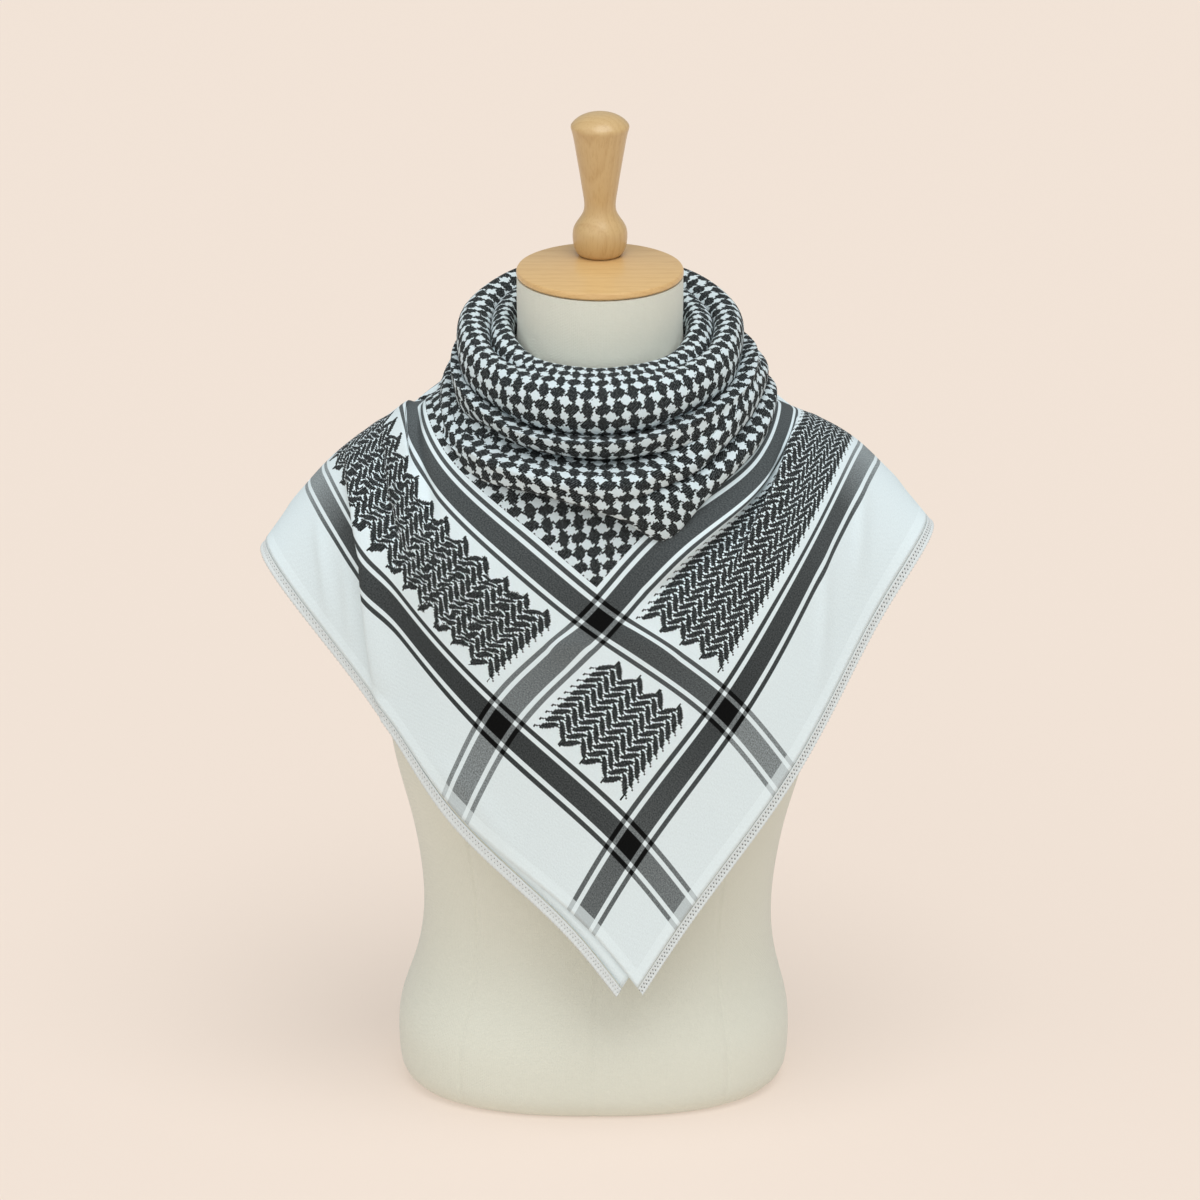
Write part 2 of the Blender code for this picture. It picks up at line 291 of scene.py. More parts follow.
def finish_material(name, roughness, sheen=0.0, coat=0.0):
    """A material with its Principled shader set, and the fields of its coordinates."""
    made = bpy.data.materials.new(name)
    made.use_nodes = True
    tree = made.node_tree
    shader = tree.nodes["Principled BSDF"]
    shader.inputs["Roughness"].default_value = roughness
    shader.inputs["Sheen Weight"].default_value = sheen
    shader.inputs["Sheen Roughness"].default_value = 0.5
    shader.inputs["Coat Weight"].default_value = coat
    shader.inputs["Coat Roughness"].default_value = 0.18
    coordinates = tree.nodes.new("ShaderNodeTexCoord")
    places = {label: Field(tree, coordinates.outputs[label]) for label in ("UV", "Object")}
    return made, tree, shader, places


def place_group(tree, group, **inputs):
    """A group placed in a material: fields are linked to its inputs, numbers and colours are set."""
    node = tree.nodes.new("ShaderNodeGroup")
    node.node_tree = group
    for label, value in inputs.items():
        socket = node.inputs[label.replace("_", " ")]
        if isinstance(value, Field):
            tree.links.new(value.socket, socket)
        else:
            socket.default_value = value
    return {output.name: Field(tree, output) for output in node.outputs}


def bump(tree, shader, height, depth, strength=1.0):
    """The fine relief of a surface, depth in metres."""
    node = tree.nodes.new("ShaderNodeBump")
    node.inputs["Strength"].default_value = strength
    node.inputs["Distance"].default_value = depth
    tree.links.new(height.socket, node.inputs["Height"])
    tree.links.new(node.outputs["Normal"], shader.inputs["Normal"])


def tint(tree, amount, low, high):
    """A colour between two others."""
    node = tree.nodes.new("ShaderNodeMix")
    node.data_type = "RGBA"
    tree.links.new(amount.socket, node.inputs["Factor"])
    for socket, value in ((node.inputs[6], low), (node.inputs[7], high)):
        if isinstance(value, Field):
            tree.links.new(value.socket, socket)
        else:
            socket.default_value = (*value, 1)
    return Field(tree, node.outputs[2])


# Plain weave, as on the linen cover: threads over and under each other, with uneven yarn.
weave, given, out = effect("plain weave", [
    ("Place", "NodeSocketVector", None), ("Threads", "NodeSocketFloat", 1000.0)],
    [("Height", "NodeSocketFloat"), ("Slub", "NodeSocketFloat")])
x, y, z = axes(given["Place"])
across_threads, up_threads = (x + y * 0.6) * given["Threads"], z * given["Threads"]
over_under = (across_threads.whole() + up_threads.whole()).swing(1.0)
ridge_up = (across_threads.part() - 0.5).size() * -2.0 + 1.0
ridge_across = (up_threads.part() - 0.5).size() * -2.0 + 1.0
slub = noise(given["Place"], 420.0, 3.0, 0.7)
weave.links.new(over_under.blend(ridge_up, ridge_across).socket, out.inputs["Height"])
weave.links.new(slub.socket, out.inputs["Slub"])

linen, tree, shader, at = finish_material("form linen", 0.88, sheen=0.25)
threads = place_group(tree, weave, Place=at["Object"], Threads=LINEN_THREADS)
patches = noise(at["Object"], 6.0, 3.0, 0.6)
# The weave's height is mixed into the colour as well, so the hollows between the threads are painted
# darker: painted shade.
shade = threads["Slub"] * 0.35 + patches * 0.35 + threads["Height"] * 0.15
colour = tint(tree, shade, LINEN_DARK, LINEN_LIGHT)
tree.links.new(colour.socket, shader.inputs["Base Color"])
bump(tree, shader, threads["Height"] * 0.6 + threads["Slub"], 0.0004, 0.5)
form_cover.data.materials.append(linen)

# The cap and the handle: turned beech under satin lacquer. The cap is a disc on top of the neck, its
# grain in long curves across it, and the handle is one turned piece with its grain upright.
CAP_FOOT = 592.8
CAP_THICKNESS = 5.4
HANDLE_FOOT = 598.5
HANDLE_BACK = 30.0
CAP_PROFILE = (                  # radius, height
    (0, 0), (55.6, 0), (56.9, 0.5), (57.8, 1.6), (57.8, 3.7), (57.1, 4.9), (56.0, CAP_THICKNESS),
    (0, CAP_THICKNESS),
)
HANDLE_PROFILE = (
    (0, 0), (14.6, 0), (15.6, 0.8), (17.6, 4.5), (18.7, 9.0), (19.0, 14.0), (18.4, 18.6), (16.2, 23.0),
    (13.2, 27.5), (11.4, 31.5), (10.9, 36.0), (11.7, 43.0), (14.2, 59.0), (17.2, 77.0), (20.0, 90.6),
    (20.3, 92.6), (19.4, 94.2), (16.0, 97.4), (10.5, 100.2), (5.0, 101.4), (0, 101.5),
)


def turned(name, profile, foot, behind, steps=96):
    """A profile of (radius, height) turned round an upright axis."""
    piece = bmesh.new()
    corners = [piece.verts.new((radius / 1000, 0, (foot + height) / 1000)) for radius, height in profile]
    edges = [piece.edges.new(pair) for pair in zip(corners, corners[1:])]
    bmesh.ops.spin(piece, geom=corners + edges, axis=(0, 0, 1), cent=(0, 0, 0), angle=2 * math.pi,
                   steps=steps, use_merge=True)
    bmesh.ops.remove_doubles(piece, verts=piece.verts, dist=1e-6)
    bmesh.ops.recalc_face_normals(piece, faces=piece.faces)
    bmesh.ops.translate(piece, verts=piece.verts, vec=(0, behind / 1000, 0))
    return finished(name, piece, 35)


def smooth_profile(profile, steps):
    """A turned profile with points added along a smooth curve, its first and last two corners kept."""
    corners = np.array(profile, float)
    lengths = np.concatenate([[0], np.cumsum(np.hypot(*np.diff(corners[1:], axis=0).T))])
    return [tuple(corners[0])] + [tuple(p) for p in smooth_through(
        lengths, corners[1:], np.linspace(0, lengths[-1], steps))]


neck_cap = turned("neck_cap", CAP_PROFILE, CAP_FOOT, 0)
handle = turned("handle", smooth_profile(HANDLE_PROFILE, 90), HANDLE_FOOT, HANDLE_BACK, 72)
for piece, node, finish in ((neck_cap, "form_neck_cap", "cap_wood"),
                            (handle, "form_handle", "handle_wood")):
    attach(piece, "root")
    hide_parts(node)

grain, given, out = effect("beech grain", [
    ("Place", "NodeSocketVector", None), ("Ring Width", "NodeSocketFloat", 0.004)],
    [("Figure", "NodeSocketFloat"), ("Fleck", "NodeSocketFloat"), ("Pores", "NodeSocketFloat")])
x, y, _ = axes(given["Place"])
stretch = grain.nodes.new("ShaderNodeMapping")
stretch.inputs["Scale"].default_value = (1, 1, 0.08)
grain.links.new(given["Place"].socket, stretch.inputs["Vector"])
long_way = Field(grain, stretch.outputs[0])
wander = noise(long_way, 26.0, 3.0, 0.55)
rings = ((x * 0.55 + y + wander * 0.022) / given["Ring Width"]).part()
figure = rings.ramp((0, 0.25), (0.55, 0.42), (0.86, 0.8), (1, 0.3))
fleck = noise(long_way, 900.0, 1.0, 0.5).ramp((0.52, 0.0), (0.66, 1.0))
pores = noise(long_way, 2600.0, 2.0, 0.6)
for field, label in ((figure, "Figure"), (fleck, "Fleck"), (pores, "Pores")):
    grain.links.new(field.socket, out.inputs[label])


def beech(name, piece, light, dark, turned_over, ring_width):
    """Lacquered beech for a piece, its grain turned to the way the blank was cut."""
    made, tree, shader, at = finish_material(name, 0.42, coat=0.35)
    turning = tree.nodes.new("ShaderNodeMapping")
    turning.inputs["Rotation"].default_value = turned_over
    tree.links.new(at["Object"].socket, turning.inputs["Vector"])
    wood = place_group(tree, grain, Place=Field(tree, turning.outputs[0]), Ring_Width=ring_width)
    amount = wood["Figure"] * 0.55 + wood["Fleck"] * 0.25 + wood["Pores"] * 0.25
    tree.links.new(tint(tree, amount, light, dark).socket, shader.inputs["Base Color"])
    tree.links.new((wood["Pores"] * 0.14 + 0.34).socket, shader.inputs["Roughness"])
    bump(tree, shader, wood["Pores"], 0.0002, 0.25)
    piece.data.materials.append(made)


beech("cap beech", neck_cap, (0.790, 0.530, 0.235), (0.620, 0.370, 0.140), (0, math.pi / 2, 0.35), 0.007)
beech("handle beech", handle, (0.690, 0.490, 0.235), (0.540, 0.335, 0.135), (0, 0, 0), 0.006)

# The shawl: one square of cotton twill, folded corner to corner, so that two layers hang in a point on
# the chest. Each arm goes back over a shoulder, and the tables say where the cloth lies, in mm. Left
# and right are as seen from in front.
CLOTH_WALL = 1.0
LAYER_STEP = 1.6
TIP_SHIFT = 10.6
TIP_SHIFT_REACH = 125.0
CLOTH_CELLS = {"upper": 280, "under": 160}
ARM_KNOTS = (0, 68, 190, 270, 350, 430, 510, 590, 660, 730)
ACROSS = 4                       # the first knots also count across an arm, from its hem to the tuck
TUCK = ARM_KNOTS[ACROSS - 1]
SHOULDER_KNOTS = ARM_KNOTS[5:]
SHOULDER_WIDTHS = (1.0, 0.90, 0.70, 0.50, 0.36)
LEFT_ARM = {                     # along the hem: the hem, the outer band, the inner band and the tuck
    0: ((26, -130, 114), (60, -129, 169), (127, -116, 264), (162, -92, 321)),
    68: ((-13, -129, 163), (20, -131, 222), (87, -127, 319), (123, -110, 376)),
    190: ((-101, -112, 240), (-70, -125, 309), (0, -130, 387), (50, -113, 440)),
    270: ((-144, -88, 296), (-122, -100, 359), (-59, -120, 435), (-3, -98, 486)),
    350: ((-191, -52, 350), (-164, -64, 407), (-114, -74, 476), (-62, -64, 517)),
    430: ((-233, 0, 395), (-197, 0, 443), (-133, 0, 497), (-75, 0, 525)),
    510: ((-208, 66, 384), (-184, 66, 428), (-118, 62, 477), (-67, 48, 521)),
    590: ((-150, 102, 404), (-128, 98, 456), (-84, 82, 504), (-53, 58, 538)),
    660: ((-82, 110, 440), (-71, 108, 486), (-50, 94, 524), (-38, 66, 547)),
    730: ((-10, 108, 472), (-9, 108, 510), (-8, 96, 536), (-8, 72, 551)),
}
RIGHT_ARM = {
    350: ((196, -54, 375), (158, -70, 432), (109, -72, 475), (58, -64, 514)),
    430: ((228, 0, 413), (186, 0, 462), (130, 0, 497), (75, 0, 525)),
    510: ((204, 66, 398), (178, 66, 438), (116, 62, 477), (67, 48, 521)),
    590: ((148, 102, 408), (126, 98, 458), (84, 82, 504), (53, 58, 538)),
    660: ((82, 110, 440), (71, 108, 486), (50, 94, 524), (38, 66, 547)),
    730: ((10, 108, 472), (9, 108, 510), (8, 96, 536), (8, 72, 551)),
}
net = np.zeros((len(ARM_KNOTS), len(ARM_KNOTS), 3))
for i, u in enumerate(ARM_KNOTS):
    net[i, :ACROSS] = LEFT_ARM[u]
for j, v in enumerate(ARM_KNOTS[ACROSS:], start=ACROSS):
    net[:ACROSS, j] = RIGHT_ARM[v]
inmost = ACROSS - 1
for i in range(ACROSS, len(ARM_KNOTS)):
    for j in range(ACROSS, len(ARM_KNOTS)):
        net[i, j] = net[i, inmost] + net[inmost, j] - net[inmost, inmost]

FOLDS = (                        # places on the cloth, height, slip right and up, width on each side
    (((462, 188), (435, 183), (405, 178), (380, 171), (345, 158)), 7.0, (7.0, 0), (5, 14)),
    (((470, 206), (432, 200), (402, 194), (377, 186), (345, 174), (321, 152)), -5.0, (0, 0), (7, 6)),
    (((415, 150), (390, 142), (372, 130), (345, 117), (321, 108)), -4.5, (0, 0), (6, 7)),
    (((423, 114), (375, 93), (345, 75), (327, 54), (306, 27), (288, 3)), 5.0, (-4.5, 0), (17, 6)),
    (((399, 51), (372, 30), (351, 9)), 1.6, (0, 0), (7, 5)),
    (((363, 51), (345, 33), (330, 12)), 1.3, (0, 0), (6, 5)),
    (((225, 9), (186, 18), (129, 6)), 1.2, (0, 0), (9, 7)),
    (((178, 225), (176, 279), (178, 324), (184, 372)), 5.0, (2.0, -2.0), (16, 5)),
    (((168, 232), (162, 258), (160, 300), (168, 339), (176, 372)), -7.5, (0, 0), (6, 8)),
    (((172, 412), (166, 380), (152, 345), (138, 312), (129, 282)), 8.5, (-8.0, 2.0), (13, 4)),
    (((60, 399), (42, 369), (24, 342)), 1.6, (0, 0), (8, 6)),
    (((66, 342), (39, 306), (12, 258)), 1.6, (0, 0), (8, 6)),
    (((186, 171), (192, 156), (195, 141)), 1.6, (-1.5, 2.5), (10, 10)),
    (((174, 192), (147, 195), (120, 198)), 1.6, (0, 2.5), (10, 10)),
    (((455, 35), (560, 60), (720, 70)), 4.0, (0, 0), (9, 12)),
    (((470, 95), (580, 112), (720, 116)), 4.5, (0, 0), (10, 10)),
    (((455, 150), (600, 168), (720, 165)), 4.0, (0, 0), (9, 11)),
    (((35, 455), (60, 560), (70, 720)), 4.0, (0, 0), (12, 9)),
    (((95, 470), (112, 580), (116, 720)), 4.5, (0, 0), (10, 10)),
    (((150, 455), (168, 600), (165, 720)), 4.0, (0, 0), (11, 9)),
)


def folded(u, v):
    """How far the soft folds carry each point: out from the cloth's face, to the right and up."""
    moves = np.zeros((len(u), 3))
    for places, height, (slip, lift), (near, far) in FOLDS:
        knots = np.array(places, float)
        nearest, signed, run = np.full(len(u), 1e9), np.zeros(len(u)), np.zeros(len(u))
        for k, (start, step) in enumerate(zip(knots, np.diff(knots, axis=0))):
            part = np.clip(((u - start[0]) * step[0] + (v - start[1]) * step[1]) / (step @ step), 0, 1)
            du, dv = u - start[0] - part * step[0], v - start[1] - part * step[1]
            closer = np.hypot(du, dv) < nearest
            nearest = np.where(closer, np.hypot(du, dv), nearest)
            signed = np.where(closer, np.hypot(du, dv) * np.sign(step[0] * dv - step[1] * du), signed)
            run = np.where(closer, (k + part) / (len(knots) - 1), run)
        swell = np.exp(-(signed / np.where(signed > 0, far, near)) ** 2)
        to_both_ends = np.clip(run, 0.02, 0.98)
        swell *= np.sin(math.pi * to_both_ends) ** 0.6
        moves += swell[:, None] * (height, slip, lift)
    return moves


def drape(u, v, inward=0.0):
    """Points of the upper layer's outer face: u runs along the left hem from the tip, v along the right."""
    unit = np.eye(len(ARM_KNOTS))

    def surface(u_at, v_at):
        return np.einsum("ni,nj,ijk->nk", smooth_through(ARM_KNOTS, unit, u_at),
                         smooth_through(ARM_KNOTS, unit, v_at), net)

    points = surface(u, v)
    normal = np.cross(surface(u, v + 1) - surface(u, v - 1), surface(u + 1, v) - surface(u - 1, v))
    normal /= np.linalg.norm(normal, axis=1, keepdims=True)
    moves = folded(np.asarray(u, float), np.asarray(v, float))
    points[:, 0] += moves[:, 1]
    points[:, 2] += moves[:, 2]
    return points + (moves[:, :1] - np.reshape(inward, (-1, 1))) * normal


def under_drape(u, v, inward=0.0):
    """Points of the under layer's outer face, inside the upper layer and slipped sideways at its corner."""
    shift = TIP_SHIFT * np.exp(-((np.maximum(u, 0) + np.maximum(v, 0)) / TIP_SHIFT_REACH) ** 2)
    return drape(u + shift, v - shift, np.asarray(inward) + LAYER_STEP)


def flat_cloth(u, v):
    """Where a point lies on the flat cloth. Behind the shoulders part of each arm's width is left out,
    because it is tucked away there."""
    width_u, width_v = (np.interp(along, SHOULDER_KNOTS, SHOULDER_WIDTHS) for along in (u, v))
    return np.stack([u * width_v, v * width_u], axis=1)


def thicken(piece, wall):
    """A wall of the given mm, grown inwards from the piece's outer face."""
    thickness = piece.modifiers.new("Thickness", "SOLIDIFY")
    thickness.thickness = wall / 1000
    thickness.offset = -1


def layer_piece(name, surface, cells):
    """One layer of the folded square, out to the hems and in to the tuck under the cowl."""
    reach = ARM_KNOTS[-1]
    placed = grid_piece(
        name, cells, cells,
        lambda s, t: surface(s * reach, t * reach),
        lambda s, t: flat_cloth(s * reach, t * reach),
        keep=lambda s, t: np.minimum(s, t) * reach <= TUCK + 1)
    thicken(placed, CLOTH_WALL)
    return placed


shawl_under = layer_piece("shawl_under", under_drape, CLOTH_CELLS["under"])
shawl_upper = layer_piece("shawl_upper", drape, CLOTH_CELLS["upper"])
for piece, node in ((shawl_under, "shawl_under_layer"), (shawl_upper, "shawl_upper_layer")):
    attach(piece, "root")
    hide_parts(node)

BAND_LINES = (68.0, 190.0)
BAND_PITCH = BAND_LINES[1] - BAND_LINES[0]
BAND_SPLIT = 130.0
BAND_REACH = 20.0
STRIPES = ((0.38, 1), (0.40, 0), (0.55, 0), (0.57, 1), (0.73, 1), (0.75, 0))    # parts of BAND_REACH
STRIPES_END = 0.74
PAST_OUTER_BAND = 82.0
PAST_INNER_BAND = 198.0
LEAF_COLUMN = 9.5
LEAF_STACK = 7.4
LEAF_START = 91.0
LEAF_COLUMNS = 8
LEAF_END = LEAF_START + LEAF_COLUMNS * LEAF_COLUMN
LEAF_ROWS = 10
LEAF_FOOT = 98.6
LEAF_TOP = LEAF_FOOT + LEAF_ROWS * LEAF_STACK
LEAF_TIP = 3.0
LEAF_TICK = 0.9
LEAF_REACH = 0.55
LEAF_FULLNESS = 0.43
CRUSH_SCALE = 55.0               # the leaf rows waver up the left arm, in full from CRUSH_FADE mm up it
CRUSH_FADE = 25.0
CRUSH_REACH = 13.0
THREAD = 1.3
NET_START = 208.5
NET_WHITE = 0.88
KNOT_PITCH = 10.7
KNOT_ROUNDNESS = 1.7
DIAGONAL = 0.7071
HEM_FOLD = 9.0
HEM_SHARE, HEM_LIGHT = 0.45, 0.50
UNDER_PLAIN_EDGE = 24.0
SMOOTH_ALBEDO = 0.83
CROSSED = 0.19
BLACK = 0.004
LEFT_OUTER = ((0, 0.20), (54, 0.17), (86, 0.065), (200, 0.045), (320, 0.060), (375, 0.08), (425, 0.32))
LEFT_INNER = ((0, 0.27), (54, 0.24), (86, 0.10), (200, 0.070), (330, 0.085), (420, 0.12))
RIGHT_OUTER = ((0, 0.15), (54, 0.12), (86, 0.085), (200, 0.050), (300, 0.065), (370, 0.09), (425, 0.32))
RIGHT_INNER = ((0, 0.27), (54, 0.24), (86, 0.20), (170, 0.15), (205, 0.070), (420, 0.10))
TWILL_LINES = 900.0              # to the metre
COTTON_TINT = (0.925, 1.055, 1.10)

check, given, out = effect("woven check", [
    ("Flat", "NodeSocketVector", None), ("Plain Edge", "NodeSocketFloat", 0.0)],
    [("Shade", "NodeSocketFloat"), ("Threads", "NodeSocketFloat")])
u, v, _ = (axis * 1000.0 for axis in axes(given["Flat"]))
in_thread = (u / THREAD).part()
u_thread = ((u / THREAD).whole() + 0.5) * THREAD
yarn = noise(given["Flat"], 900.0, 2.0, 0.6)
ragged = noise(given["Flat"], 620.0, 1.0, 0.5) - 0.5


def band_masks(along):
    """Where a thread lies in a dark stripe, and in a group of bands at all."""
    off = (along - BAND_LINES[0]).size().least((along - BAND_LINES[1]).size()) / BAND_REACH
    return off.ramp(*STRIPES), off.under(STRIPES_END)


dark_u, group_u = band_masks(u)
dark_v, group_v = band_masks(v)


def band_tone(across, along, outer, inner):
    """How much light a band gives back along its length: (mm, tone) stops for the outer and inner one."""
    reach = 500.0
    outer, inner = ([(at / reach, tone) for at, tone in stops] for stops in (outer, inner))
    length = along / reach
    return across.over(BAND_SPLIT).blend(length.ramp(*outer), length.ramp(*inner))


tone_v = band_tone(v, u, LEFT_OUTER, LEFT_INNER)
tone_u = band_tone(u, v, RIGHT_OUTER, RIGHT_INNER)
only_v = group_u * (tone_v * -1.0 + CROSSED) + tone_v
only_u = group_v * (tone_u * -1.0 + CROSSED) + tone_u
both = dark_u * dark_v
bands = (dark_v * dark_u.inverse() * only_v + dark_u * dark_v.inverse() * only_u + both * BLACK
         + dark_u.inverse() * dark_v.inverse() * SMOOTH_ALBEDO)
bands = v.under(given["Plain Edge"]).blend(bands, SMOOTH_ALBEDO)
in_net = u.over(NET_START) * v.over(NET_START)


def leaf_rows():
    """1 on the woven leaves, which lie in columns that lean one way and then the other. A leaf's pointed
    end reaches in between two of the next column, and the outermost ones end in a stem or a tick."""
    far_u, far_v = u_thread.over(PAST_INNER_BAND), v.over(PAST_INNER_BAND)
    up_the_arm = ((u_thread - (LEAF_START + BAND_PITCH)) / CRUSH_FADE).most(0.0).least(1.0)
    crushed = (noise(given["Flat"], CRUSH_SCALE, 2.0, 0.6) - 0.5) * up_the_arm * CRUSH_REACH
    along, across = u_thread - far_u * BAND_PITCH + crushed, v - far_v * BAND_PITCH + crushed
    past_end = (along - LEAF_END).most(0.0) * far_u.inverse() + (along * -1.0 + LEAF_START).most(0.0)
    held = along.most(LEAF_START).least(far_u * 1000.0 + LEAF_END - 0.01)
    column = (held - LEAF_START) / LEAF_COLUMN
    wave = (held - LEAF_START).swing(LEAF_COLUMN) - past_end
    stack = across + LEAF_COLUMN - wave
    row = (stack - LEAF_FOOT) / LEAF_STACK
    leaning = column.whole().math("MODULO", 2.0)
    even_side = (row.part() - 0.5).size() * -1.0 + 0.25
    to_end = (column.part() - 0.5).size() * -1.0 + 0.5
    inner = column.over(0.5) * column.under(LEAF_COLUMNS - 0.5).most(far_u)
    reach = to_end + even_side * inner * (leaning * -2.0 + 1.0) * LEAF_REACH
    family = leaning + reach.under(0.0) * (leaning * -2.0 + 1.0)
    leaf_row = row + family * 0.5
    from_rib = (leaf_row.part() - 0.5).size()
    arms = far_u + far_v
    fullness, fray = arms * 0.03 + LEAF_FULLNESS, ragged * (arms * 0.16 + 0.22)
    body = (reach.size() / 0.20).least(1.0) ** 0.55 * fullness + fray
    in_rows = leaf_row.over(0.0) * leaf_row.under(LEAF_ROWS).most(far_v)
    leaf = from_rib.under(body) * past_end.under(0.01) * in_rows
    stem = from_rib.under(past_end.over(2.0) * 0.08 + 0.09) * past_end.over(0.0) * past_end.under(LEAF_TIP)
    foot_tick = wave.under(LEAF_TICK) * (stack - LEAF_FOOT).size().under(LEAF_TIP)
    from_top = (stack - LEAF_TOP + LEAF_STACK * 0.5).size()
    top_tick = wave.over(LEAF_COLUMN - LEAF_TICK) * from_top.under(LEAF_TIP) * far_v.inverse()
    ticks = foot_tick.most(top_tick) * past_end.under(0.01)
    drawn = leaf.most(stem * in_rows).most(ticks)
    return drawn * (far_u * far_v).inverse() * u.over(PAST_OUTER_BAND) * v.over(PAST_OUTER_BAND)


def knot_net():
    """1 on the net: dark knots, wide and tall in turn, joined by thin leaning threads."""
    a, b = (v - u_thread) * (DIAGONAL / KNOT_PITCH), (u_thread + v) * (DIAGONAL / KNOT_PITCH)
    column, row = (a + 0.5).whole(), (b + 0.5).whole()
    x, y = a - column, b - row
    tall = (column + row).swing(1.0)
    wide_x, wide_y = tall * -0.19 + 0.56, tall * 0.19 + 0.37
    sideways, upright = (x + y * 0.2).size() / wide_x, (y - x * 0.2).size() / wide_y
    knot = (sideways ** KNOT_ROUNDNESS + upright ** KNOT_ROUNDNESS + ragged * 0.9).under(1.0)
    side_join = (y - x * 0.3 + ragged * 0.1).size().under(0.09)
    upright_join = (x - y * 0.25 + ragged * 0.1).size().under(0.11)
    return knot.most(side_join.most(upright_join)) * in_net


figured = leaf_rows().most(knot_net())
hatch = ((in_thread - 0.5).size() * 0.5 + yarn).ramp((0.45, 0.006), (0.62, 0.020), (0.80, 0.11))
spun = yarn.ramp((0.30, 0.55), (0.70, 1.45))
even = bands.over(0.45)
ground = figured.inverse() * bands * even.blend(spun, spun * 0.06 + 0.94)
patterned = figured * hatch + ground * (in_net * (NET_WHITE - 1.0) + 1.0)
hem = u.least(v).under(HEM_FOLD)
albedo = hem * (patterned * HEM_SHARE + HEM_LIGHT) + hem.inverse() * patterned
check.links.new(albedo.socket, out.inputs["Shade"])
check.links.new(in_thread.socket, out.inputs["Threads"])


def cotton_material(name, plain_edge=0.0):
    """Cotton twill with the woven check, left plain for so many mm beside the left hem."""
    made, tree, shader, at = finish_material(name, 0.80, sheen=0.02)
    shader.inputs["Specular IOR Level"].default_value = 0.06
    pattern = place_group(tree, check, Flat=at["UV"], Plain_Edge=plain_edge)
    x, y, _ = axes(at["UV"])
    twill = (((x + y) * TWILL_LINES).part() - 0.5).size() * 2.0
    uneven = noise(at["UV"], 700.0, 2.0, 0.7)
    soft = twill * 0.08 + uneven * 0.16 + 0.88
    shade = pattern["Shade"] * soft
    combine = tree.nodes.new("ShaderNodeCombineColor")
    for channel, amount in enumerate(COTTON_TINT):
        tree.links.new((shade * amount).socket, combine.inputs[channel])
    tree.links.new(combine.outputs[0], shader.inputs["Base Color"])
    bump(tree, shader, twill * 0.5 + uneven, 0.0003, 0.5)
    return made


cotton = cotton_material("shawl cotton")
shawl_upper.data.materials.append(cotton)
shawl_under.data.materials.append(cotton_material("shawl cotton with a plain edge", UNDER_PLAIN_EDGE))

# The worked edging on two opposite sides of the square: a narrow strip of looped cotton thread with
# two rows of small openings and a corded, scalloped outer edge, sewn on along the hem.
EDGING_GAP = 0.7
EDGING_WIDTH = 6.8
EDGING_WALL = 1.2
LOOP_PITCH = 3.2
LOOP_ROWS = (1.9, 4.0)           # how far each row of openings lies from the sewn side, in mm
OPENING_HALF = 0.62
CORD_LINE = 5.9
CORD_HEIGHT = 0.45
SCALLOP = 0.35
# the darker end of the thread's uneven tone, and the painted shade in the openings
THREAD_DARK_AND_OPENING_SHADE = (0.16, 0.17, 0.17)
THREAD_LIGHT = (0.80, 0.86, 0.87)


def edging_height(run, out_from_hem):
    """How far the worked thread stands up: loops with openings between them, then the cord."""
    loops = np.cos(2 * np.pi * run / LOOP_PITCH)
    first = -0.5 * np.exp(-((out_from_hem - LOOP_ROWS[0]) / 0.7) ** 2) * (loops > 0.1)
    second = -0.5 * np.exp(-((out_from_hem - LOOP_ROWS[1]) / 0.6) ** 2) * (loops < -0.1)
    cord = CORD_HEIGHT * np.exp(-((out_from_hem - CORD_LINE) / 0.8) ** 2) * (0.75 + 0.25 * loops)
    return first + second + cord


def edging_piece(name, surface, on_left):
    """A strip beside a hem, whose surface rises and sinks with its stitches."""
    reach = ARM_KNOTS[-1]

    def place(s, t):
        run, beside = s * reach, t * EDGING_WIDTH
        scallop = np.where(t > 0.99, SCALLOP * (np.cos(2 * np.pi * run / LOOP_PITCH) - 1), 0)
        off = -(EDGING_GAP + beside + scallop)
        height = edging_height(run, beside)
        return surface(run, off, -height) if on_left else surface(off, run, -height)

    def coords(s, t):
        return np.stack([s * reach, t * EDGING_WIDTH], axis=1)

    placed = grid_piece(name, 1140, 9, place, coords)
    thicken(placed, EDGING_WALL)
    return placed


edging_under = edging_piece("edging_on_the_under_layer", under_drape, True)
edging_upper = edging_piece("edging_on_the_upper_layer", drape, False)
thread, tree, shader, at = finish_material("edging thread", 0.85, sheen=0.3)
x, y, _ = axes(at["UV"])
run, beside = x * 1000.0, y * 1000.0
turn = (run / LOOP_PITCH).part()
from_loop, from_gap = turn.least((turn - 1.0).size()), (turn - 0.5).size()
first_row = (from_loop * LOOP_PITCH / OPENING_HALF) ** 2.0 + ((beside - LOOP_ROWS[0]) / 0.75) ** 2.0
second_row = (from_gap * LOOP_PITCH / OPENING_HALF) ** 2.0 + ((beside - LOOP_ROWS[1]) / 0.65) ** 2.0
# The two rows of openings are painted dark grey: painted shade in place of real holes through the strip.
holes = first_row.least(second_row).ramp((0.45, 0.0), (1.0, 1.0))
fuzz = noise(at["UV"], 2400.0, 2.0, 0.6)
colour = tint(tree, holes * (fuzz * 0.35 + 0.70), THREAD_DARK_AND_OPENING_SHADE, THREAD_LIGHT)
tree.links.new(colour.socket, shader.inputs["Base Color"])
bump(tree, shader, fuzz, 0.0004, 0.5)
for piece, node in ((edging_under, "edging_under"), (edging_upper, "edging_upper")):
    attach(piece, "root")
    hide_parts(node)
    piece.data.materials.append(thread)

